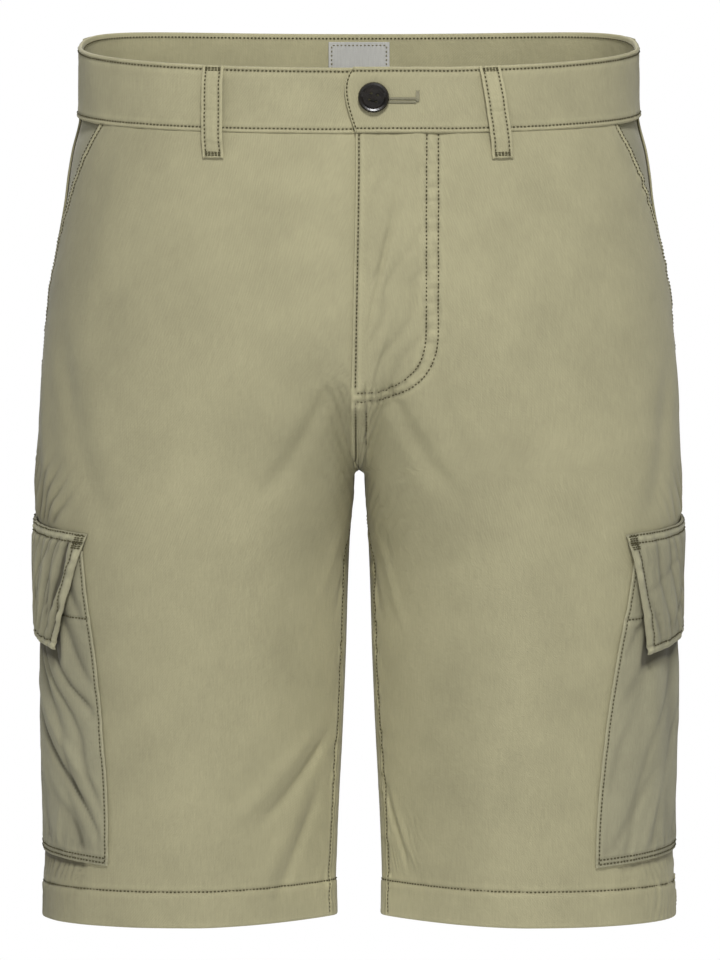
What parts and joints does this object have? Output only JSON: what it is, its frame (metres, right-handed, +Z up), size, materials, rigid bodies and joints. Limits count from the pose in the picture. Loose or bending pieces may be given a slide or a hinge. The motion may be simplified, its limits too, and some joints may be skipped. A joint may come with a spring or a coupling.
{
  "type": "cargo shorts",
  "caption": "Knee-length cargo shorts hanging open as on a wearer, with a buttoned waistband tab, belt loops, slant hip pockets and flapped patch pockets over the side seams",
  "frame": {"origin": "the middle of the waist, where a waist or a form holds the shorts up", "axes": "+Z up, -Y the front, +X the wearer's left"},
  "size_m": [0.403, 0.2664, 0.5495],
  "materials": {
    "cloth": "sage khaki cotton twill, washed",
    "pocket_cloth": "sage khaki cotton twill inside the slant openings",
    "button": "dark brown, polished",
    "label": "plain grey woven tape"
  },
  "bodies": {
    "root": {"front_left": "cloth", "front_right": "cloth", "back_left": "cloth", "back_right": "cloth", "waistband_left": "cloth", "waistband_right": "cloth", "pocket_facing_left": "pocket_cloth", "pocket_facing_right": "pocket_cloth", "cargo_pocket_left": "cloth", "cargo_pocket_right": "cloth", "cargo_flap_left": "cloth", "cargo_flap_right": "cloth", "belt_loop_front_left": "cloth", "belt_loop_front_right": "cloth", "belt_loop_side_left": "cloth", "belt_loop_side_right": "cloth", "belt_loop_back_left": "cloth", "belt_loop_back_right": "cloth", "button": "button", "label_back": "label"}
  },
  "joints": []
}
